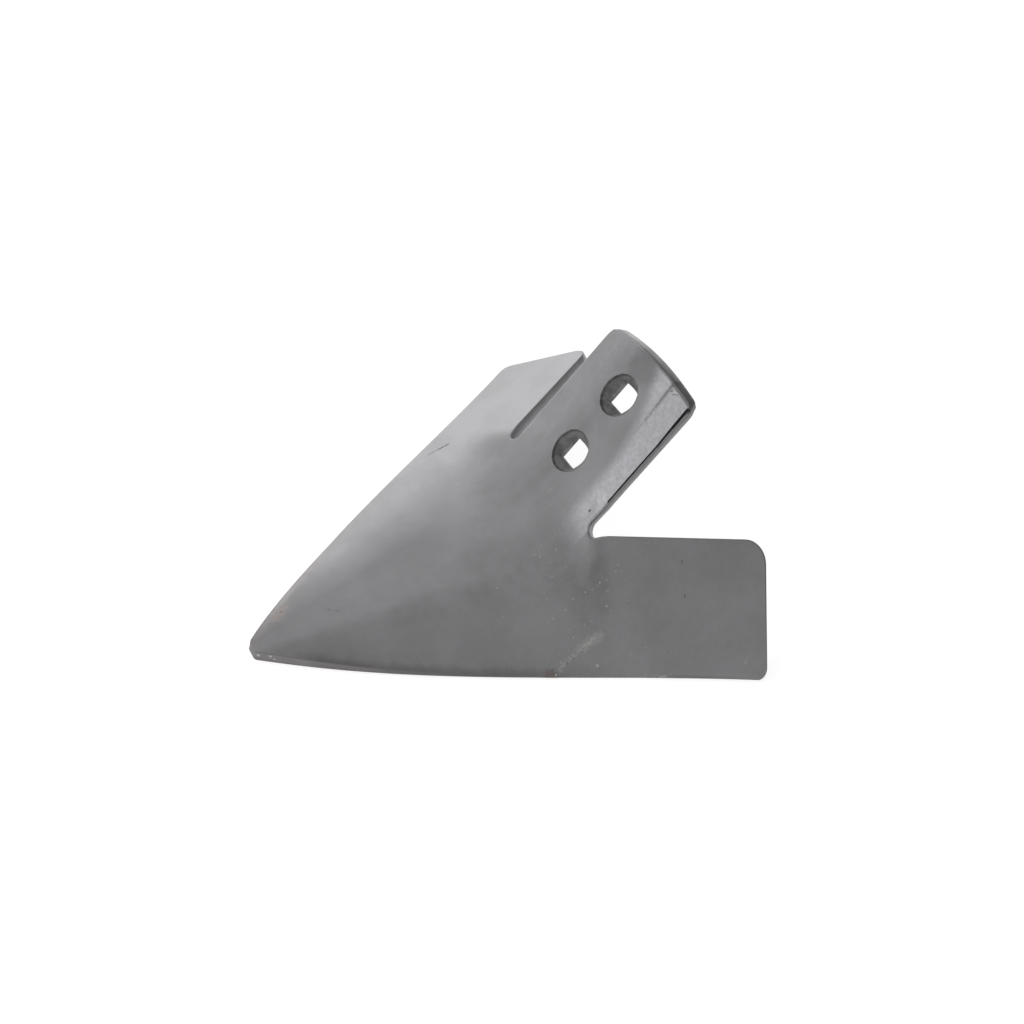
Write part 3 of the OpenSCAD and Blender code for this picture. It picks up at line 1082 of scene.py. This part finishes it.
def grey_paint():
    clouds, flecks, stroke, spot = clouds_group(), flecks_group(), stroke_group(), spot_group()
    mat = bpy.data.materials.new("grey_paint")
    mat.use_nodes = True
    tree = mat.node_tree
    shader = tree.nodes["Principled BSDF"]
    metres = add_node(tree, "TexCoord").outputs["Object"]
    place = vector(tree, "MULTIPLY", metres, (1 / MM, 1 / MM, 1 / MM))
    axes = add_node(tree, "SeparateXYZ", Vector=place).outputs
    gap = add_node(tree, "Attribute", {"attribute_name": "edge_gap"}).outputs["Fac"]

    def times(*terms):
        whole = terms[0]
        for term in terms[1:]:
            whole = number(tree, "MULTIPLY", whole, term)
        return whole

    def spread(value, ends):
        return fade(tree, value, 0.0, 1.0, *ends)

    # where the paint is uneven, worn or marked
    slow = use_group(tree, clouds, place, Size=38.0)
    middle = use_group(tree, clouds, place, Size=7.0)
    small = use_group(tree, clouds, place, Size=2.6)
    fine = use_group(tree, clouds, place, Size=1.1)
    flank = flank_mask(tree, axes["X"], axes["Y"])
    seat, lip = seat_masks(tree, place)
    strokes = ("From", "To", "Width", "Wobble", "Gaps", "Strength")
    patches = ("Centre", "Radius", "Ragged")
    dark_marks_and_shade = marks(tree, stroke, place, DARK_STROKES_AND_CREASE_SHADE + groove_shade_rows(), *strokes)
    pale = marks(tree, stroke, place, PALE_STROKES, *strokes)
    rust = marks(tree, spot, place, RUST_SPOTS, *patches)
    pink = marks(tree, stroke, place, PINK_STROKES, *strokes)
    bare = marks(tree, spot, place, BARE_SPOTS, *patches)
    dust = use_group(tree, flecks, place, Spacing=3.0, Radius=0.95, Share=0.4)
    dusty = marks(tree, spot, place, DUST_SPOTS, *patches)
    pits = use_group(tree, flecks, place, Spacing=3.0, Radius=0.7, Share=0.5)
    rough_patch = fade(tree, middle, *ROUGH_FADE)
    top_shade = marks(tree, spot, place, TOP_SHADE_SPOTS, *patches)
    facing = add_node(tree, "NewGeometry").outputs["True Normal"]
    square_on = number(tree, "ABSOLUTE", vector(tree, "DOT_PRODUCT", facing, (-STEM_SIN, 0.0, STEM_COS)))
    stem_wall_shade = times(
        fade(tree, square_on, *WALL_FACING), fade(tree, axes["X"], *WALL_X),
        fade(tree, axes["Y"], *WALL_Y, WALL_FAR, 1.0))
    front = fade(tree, axes["X"], *FRONT_X)
    far_front = times(fade(tree, axes["X"], *FAR_FRONT_X), fade(tree, axes["Y"], *FAR_FRONT_Y))

    # along the cutting edge: bevel at the nose, dark line on the near side, warm rim on the far side
    near = fade(tree, axes["Y"], *NEAR_Y)
    far = fade(tree, axes["Y"], *FAR_Y)
    wavy = number(tree, "MULTIPLY_ADD", number(tree, "SUBTRACT", middle, 0.5), DARK_WAVE, gap)
    band = times(fade(tree, gap, *BAND_GAP), fade(tree, axes["X"], *BAND_X))
    edge_dark = times(
        fade(tree, wavy, *DARK_GAP), near,
        fade(tree, axes["X"], *DARK_NOSE_X), fade(tree, axes["X"], *DARK_WING_X))
    edge_warm = times(fade(tree, gap, *WARM_GAP), far, fade(tree, axes["X"], *WARM_X))

    # colour, from the plain paint up to the chips
    tone = number(tree, "ADD", spread(slow, TONE_SLOW), spread(middle, TONE_MIDDLE))
    tone = number(tree, "ADD", tone, spread(fine, TONE_FINE))
    colour = scaled(tree, PAINT_GREY[:3], tone)
    darker = number(tree, "ADD", times(front, FRONT_COVER), times(far_front, FRONT_COVER))
    # painted shade inside the seats, broken up by the middle clouds
    seat_shade = fade(tree, middle, *SEAT_FROM, *SEAT_SHADE_COVER)
    for over, share in (
        # painted highlight on the near flank, broken up by small clouds
        (FLANK_HIGHLIGHT_GREY, times(flank, spread(small, FLANK_HIGHLIGHT_COVER))),
        (SHADOW_GREY, times(pits, flank, rough_patch, PIT_COVER)),
        # painted shade on the stem's end and side walls, full on the near side and faint on the far side
        (WALL_SHADE_GREY, stem_wall_shade),
        # painted shade patch at the top middle of the stem
        (SHADOW_GREY, times(top_shade, TOP_SHADE_COVER)),
        (SHADOW_GREY, darker),
        (EDGE_PINK, times(edge_warm, WARM_COVER)),
        (PATCH_PINK, pink),
        (SHADOW_GREY, times(edge_dark, DARK_COVER)),
        (BAND_GREY, times(band, spread(small, BAND_COVER))),
        (SCRAPE_GREY, times(dust, dusty, DUST_COVER)),
        (SCRAPE_GREY, pale),
        (SEAT_GREY, seat),
        # painted shade inside the seats, broken up by clouds, and on their lips
        (SHADOW_GREY, times(seat, seat_shade)),
        (SHADOW_GREY, times(lip, spread(small, LIP_SHADE_COVER))),
        # dark marks, with painted shade in the groove and along the crease
        (SHADOW_GREY, dark_marks_and_shade),
        (RUST, times(rust, RUST_COVER)),
        (SCRAPE_GREY, times(bare, BARE_COVER)),
    ):
        colour = lay_over(tree, colour, over, share)
    tree.links.new(colour, shader.inputs["Base Color"])

    # gloss
    worn = greatest(tree, [rust, pink, seat, bare, times(pale, PALE_WEAR), band])
    tree.links.new(spread(greatest(tree, [worn, dark_marks_and_shade]), METAL), shader.inputs["Metallic"])
    rough = number(tree, "ADD", spread(middle, ROUGH), times(worn, WORN_ROUGH))
    tree.links.new(rough, shader.inputs["Roughness"])

    # relief
    relief = number(
        tree, "MULTIPLY_ADD", times(flank, rough_patch), times(small, FLANK_RELIEF), times(fine, FINE_RELIEF))
    relief = number(tree, "ADD", relief, times(middle, MIDDLE_RELIEF))
    relief = number(tree, "SUBTRACT", relief, times(greatest(tree, [dark_marks_and_shade, rust, pale]), MARK_RELIEF))
    bump = add_node(tree, "Bump", Strength=0.5, Distance=0.0002, Height=relief)
    tree.links.new(bump.outputs["Normal"], shader.inputs["Normal"])
    return mat


# studio: the floor's size and drop in metres, its white and its glow to the eye and in gloss, light of
# the dome, and softboxes with their direction from the sweep and power in watts
FLOOR_SIZE = 30
FLOOR_DROP = 0.0003
FLOOR_WHITE = (0.9, 0.9, 0.9, 1)
FLOOR_GLOW = 0.715
DOME_LEVEL = 0.235
BOX_SIZE = 0.9
BOX_DISTANCE = 1.8
SOFTBOXES = {
    "far_low": ((0.12, 1.0, 0.07), 2.9),
    "far_right": ((0.8, 0.8, 0.15), 2.0),
    "far_left_middle": ((-0.22, 0.91, 0.35), 0.75),
    "far_left": ((-0.6, 0.9, 0.12), 0.95),
    "far_middle": ((0.15, 0.8, 0.6), 1.75),
    "far_high": ((0.1, 0.45, 0.9), 0.15),
    "far_left_high": ((-0.4, 0.54, 0.74), 1.0),
    "overhead": ((0.0, 0.0, 1.0), 0.65),
    "left_low": ((-1.0, 0.1, 0.12), 2.2),
    "left": ((-0.92, 0.05, 0.42), 0.6),
    "left_back": ((-0.8, 0.32, 0.5), 1.0),
    "near": ((0.0, -0.8, 0.6), 1.0),
    "near_high": ((-0.15, -0.45, 0.88), 0.43),
}


def floor_paint():
    """Pale floor that reads as white to the eye and in gloss, and keeps its shadows."""
    mat = bpy.data.materials.new("pale_floor")
    mat.use_nodes = True
    tree = mat.node_tree
    shader = tree.nodes["Principled BSDF"]
    shader.inputs["Base Color"].default_value = FLOOR_WHITE
    shader.inputs["Roughness"].default_value = 1.0
    shader.inputs["Specular IOR Level"].default_value = 0.0
    shader.inputs["Emission Color"].default_value = (1, 1, 1, 1)
    path = tree.nodes.new("ShaderNodeLightPath")
    seen = number(tree, "ADD", path.outputs["Is Camera Ray"], path.outputs["Is Glossy Ray"])
    tree.links.new(number(tree, "MULTIPLY", seen, FLOOR_GLOW), shader.inputs["Emission Strength"])
    return mat


def make_floor():
    deselect_all()
    bpy.ops.mesh.primitive_plane_add(size=FLOOR_SIZE, location=(0, 0, -FLOOR_DROP))
    floor = bpy.context.object
    floor.name = "floor"
    floor.data.materials.append(floor_paint())


def make_world():
    """Even dim dome, white to the eye."""
    world = bpy.data.worlds.new("studio")
    bpy.context.scene.world = world
    world.use_nodes = True
    tree = world.node_tree
    sky = tree.nodes["Background"]
    sky.inputs["Color"].default_value = (1, 1, 1, 1)
    path = tree.nodes.new("ShaderNodeLightPath")
    level = tree.nodes.new("ShaderNodeMapRange")
    level.inputs["To Min"].default_value = DOME_LEVEL
    level.inputs["To Max"].default_value = 1.0
    tree.links.new(path.outputs["Is Camera Ray"], level.inputs["Value"])
    tree.links.new(level.outputs["Result"], sky.inputs["Strength"])


def make_lights():
    for name, (direction, power) in SOFTBOXES.items():
        lamp = bpy.data.lights.new(name, "AREA")
        lamp.size = BOX_SIZE
        lamp.energy = power
        box = bpy.data.objects.new(name, lamp)
        bpy.context.collection.objects.link(box)
        away = Vector(direction).normalized()
        box.location = away * BOX_DISTANCE
        box.rotation_euler = (-away).to_track_quat("-Z", "Y").to_euler()
        box.visible_camera = False


# camera fitted to the photograph's view: turn and rise in degrees, its place to the right, up and back
# of a point a little behind the nose in millimetres, and its lens in pixels
VIEW_TURN = 28.385
VIEW_RISE = 45.077
VIEW_SHIFT = Vector((142.294, 79.609, 880.852))
BEHIND_NOSE = 11.4
FOCAL_PX = 1500
IMAGE_PX = 1024
SENSOR_W = 36


def make_camera():
    a, e = math.radians(VIEW_TURN), math.radians(VIEW_RISE)
    right = Vector((math.cos(a), -math.sin(a), 0))
    up = Vector((math.sin(e) * math.sin(a), math.sin(e) * math.cos(a), math.cos(e)))
    back = right.cross(up)
    eye = VIEW_SHIFT.x * right + VIEW_SHIFT.y * up + VIEW_SHIFT.z * back
    eye.x += BEHIND_NOSE - MID_X
    data = bpy.data.cameras.new("camera")
    data.sensor_width = SENSOR_W
    data.lens = FOCAL_PX * SENSOR_W / IMAGE_PX
    data.clip_start, data.clip_end = 0.01, 50
    camera = bpy.data.objects.new("camera", data)
    bpy.context.collection.objects.link(camera)
    camera.matrix_world = Matrix.Translation(eye * MM) @ Matrix((right, up, back)).transposed().to_4x4()
    bpy.context.scene.camera = camera


bpy.context.scene.view_settings.view_transform = "Standard"
make_camera()
make_world()
make_lights()
make_floor()
sweep = make_sweep()
sweep.data.materials.clear()
sweep.data.materials.append(grey_paint())
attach(sweep, "root")
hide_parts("sweep")
